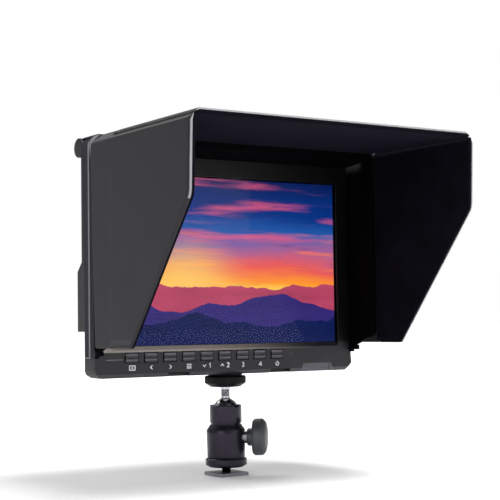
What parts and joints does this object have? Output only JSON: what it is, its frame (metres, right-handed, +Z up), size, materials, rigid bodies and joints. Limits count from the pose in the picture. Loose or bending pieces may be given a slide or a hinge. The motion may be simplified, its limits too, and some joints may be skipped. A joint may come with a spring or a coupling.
{
  "type": "camera field monitor with sun hood",
  "caption": "Camera-top field monitor with button strip, folding three-panel sun hood, battery plate and a small lockable ball head on a shoe foot.",
  "frame": {"origin": "centre of the shoe foot's underside, on the ball head's axis", "axes": "+Z up along the ball head's axis, -Y the way the screen faces, +X to the right of someone looking at the screen"},
  "size_m": [0.1784, 0.13, 0.1898],
  "materials": {
    "bezel_plastic": "fine speckled matte",
    "case_plastic": "fine grained matte",
    "frame_plastic": "satin",
    "button_plastic": "satin",
    "glass": "polished",
    "lcd": "lit picture",
    "diffuser": "white film",
    "steel_sheet": "bright",
    "circuit_board": "solder mask",
    "switch_plastic": "matte",
    "light_pipe": "clear",
    "speaker": "matte",
    "socket_plastic": "matte",
    "brass": "turned",
    "plate_plastic": "satin",
    "contact_metal": "plated",
    "latch_plastic": "satin",
    "spring_steel": "bright",
    "screw_steel": "dark bright",
    "leatherette": "grained matte",
    "wire_steel": "bright",
    "stiff_board": "matte",
    "velvet": "short pile",
    "binding": "woven",
    "foot_steel": "plated",
    "black_steel": "blackened",
    "black_alloy": "semi-gloss",
    "cup_plastic": "smooth",
    "chrome_steel": "mirror",
    "disc_metal": "satin",
    "knob_rubber": "soft satin"
  },
  "bodies": {
    "head": {"foot_plate": "foot_steel", "foot_stud": "black_steel", "ball_housing": "black_alloy", "ball_collar": "black_alloy", "brake_plunger": "screw_steel"},
    "shoe_wheel": {"lock_wheel": "black_alloy"},
    "knob": {"clamp_knob": "knob_rubber", "clamp_screw": "screw_steel"},
    "pan_cup": {"ball_cup": "cup_plastic"},
    "stem": {"ball_stem": "chrome_steel"},
    "disc": {"lock_disc": "disc_metal"},
    "monitor": {"front_bezel": "bezel_plastic", "rear_cover": "case_plastic", "screen_glass": "glass", "lcd_panel": "lcd", "backlight": "diffuser", "lcd_tray": "steel_sheet", "main_board": "circuit_board", "button_board": "circuit_board", "tact_switches": "switch_plastic", "status_light": "light_pipe", "speakers": "speaker", "picture_in_socket": "steel_sheet", "picture_out_socket": "steel_sheet", "power_socket": "socket_plastic", "phone_socket": "socket_plastic", "mount_insert": "brass", "battery_plate": "plate_plastic", "battery_contacts": "contact_metal", "latch_spring": "spring_steel", "case_screws": "screw_steel", "board_screws": "screw_steel", "hood_frame": "frame_plastic", "hood_skirt": "leatherette", "side_hinge_wires": "wire_steel", "top_hinge_wire": "wire_steel"},
    "latch": {"battery_latch": "latch_plastic"},
    "left_flap": {"left_board": "stiff_board", "left_cover": "leatherette", "left_lining": "velvet", "left_binding": "binding"},
    "right_flap": {"right_board": "stiff_board", "right_cover": "leatherette", "right_lining": "velvet", "right_binding": "binding"},
    "top_flap": {"top_board": "stiff_board", "top_cover": "leatherette", "top_lining": "velvet", "top_binding": "binding"},
    "key_1": {"button_1": "button_plastic"},
    "key_2": {"button_2": "button_plastic"},
    "key_3": {"button_3": "button_plastic"},
    "key_4": {"button_4": "button_plastic"},
    "key_5": {"button_5": "button_plastic"},
    "key_6": {"button_6": "button_plastic"},
    "key_7": {"button_7": "button_plastic"},
    "key_8": {"button_8": "button_plastic"},
    "key_9": {"button_9": "button_plastic"}
  },
  "joints": [
    {"name": "shoe_wheel_turn", "type": "hinge", "parent": "head", "child": "shoe_wheel", "pos_m": [0, 0, 0.00735], "axis": [0, 0, 1], "range_deg": [-180, 180]},
    {"name": "clamp_knob_turn", "type": "hinge", "parent": "head", "child": "knob", "pos_m": [0, 0, 0.0216], "axis": [0.766, -0.6428, 0], "range_deg": [-180, 180]},
    {"name": "ball_pan", "type": "hinge", "parent": "head", "child": "pan_cup", "pos_m": [0, 0, 0.0365], "axis": [0, 0, 1], "continuous": true},
    {"name": "ball_tilt", "type": "hinge", "parent": "pan_cup", "child": "stem", "pos_m": [0, 0, 0.0365], "axis": [1, 0, 0], "range_deg": [-25, 25]},
    {"name": "lock_disc_turn", "type": "hinge", "parent": "stem", "child": "disc", "pos_m": [0, 0, 0.054], "axis": [0, 0, 1], "range_deg": [-180, 180]},
    {"name": "monitor_turn", "type": "hinge", "parent": "stem", "child": "monitor", "pos_m": [0, 0, 0.0575], "axis": [0, 0, 1], "range_deg": [-90, 90]},
    {"name": "battery_latch_press", "type": "slide", "parent": "monitor", "child": "latch", "axis": [0, -1, 0], "range_m": [0, 0.0018], "stiffness_N_per_m": 400, "deforming": ["latch_spring"]},
    {"name": "left_flap_fold", "type": "hinge", "parent": "monitor", "child": "left_flap", "pos_m": [-0.0879, -0.0326, 0.13], "axis": [0, 0, 1], "range_deg": [0, 90]},
    {"name": "right_flap_fold", "type": "hinge", "parent": "monitor", "child": "right_flap", "pos_m": [0.0879, -0.0326, 0.13], "axis": [0, 0, -1], "range_deg": [0, 90]},
    {"name": "top_flap_fold", "type": "hinge", "parent": "monitor", "child": "top_flap", "pos_m": [0, -0.0355, 0.1869], "axis": [1, 0, 0], "range_deg": [0, 90]},
    {"name": "button_1_press", "type": "slide", "parent": "monitor", "child": "key_1", "axis": [0, 1, 0], "range_m": [0, 0.0006], "stiffness_N_per_m": 1500},
    {"name": "button_2_press", "type": "slide", "parent": "monitor", "child": "key_2", "axis": [0, 1, 0], "range_m": [0, 0.0006], "stiffness_N_per_m": 1500},
    {"name": "button_3_press", "type": "slide", "parent": "monitor", "child": "key_3", "axis": [0, 1, 0], "range_m": [0, 0.0006], "stiffness_N_per_m": 1500},
    {"name": "button_4_press", "type": "slide", "parent": "monitor", "child": "key_4", "axis": [0, 1, 0], "range_m": [0, 0.0006], "stiffness_N_per_m": 1500},
    {"name": "button_5_press", "type": "slide", "parent": "monitor", "child": "key_5", "axis": [0, 1, 0], "range_m": [0, 0.0006], "stiffness_N_per_m": 1500},
    {"name": "button_6_press", "type": "slide", "parent": "monitor", "child": "key_6", "axis": [0, 1, 0], "range_m": [0, 0.0006], "stiffness_N_per_m": 1500},
    {"name": "button_7_press", "type": "slide", "parent": "monitor", "child": "key_7", "axis": [0, 1, 0], "range_m": [0, 0.0006], "stiffness_N_per_m": 1500},
    {"name": "button_8_press", "type": "slide", "parent": "monitor", "child": "key_8", "axis": [0, 1, 0], "range_m": [0, 0.0006], "stiffness_N_per_m": 1500},
    {"name": "button_9_press", "type": "slide", "parent": "monitor", "child": "key_9", "axis": [0, 1, 0], "range_m": [0, 0.0006], "stiffness_N_per_m": 1500}
  ]
}
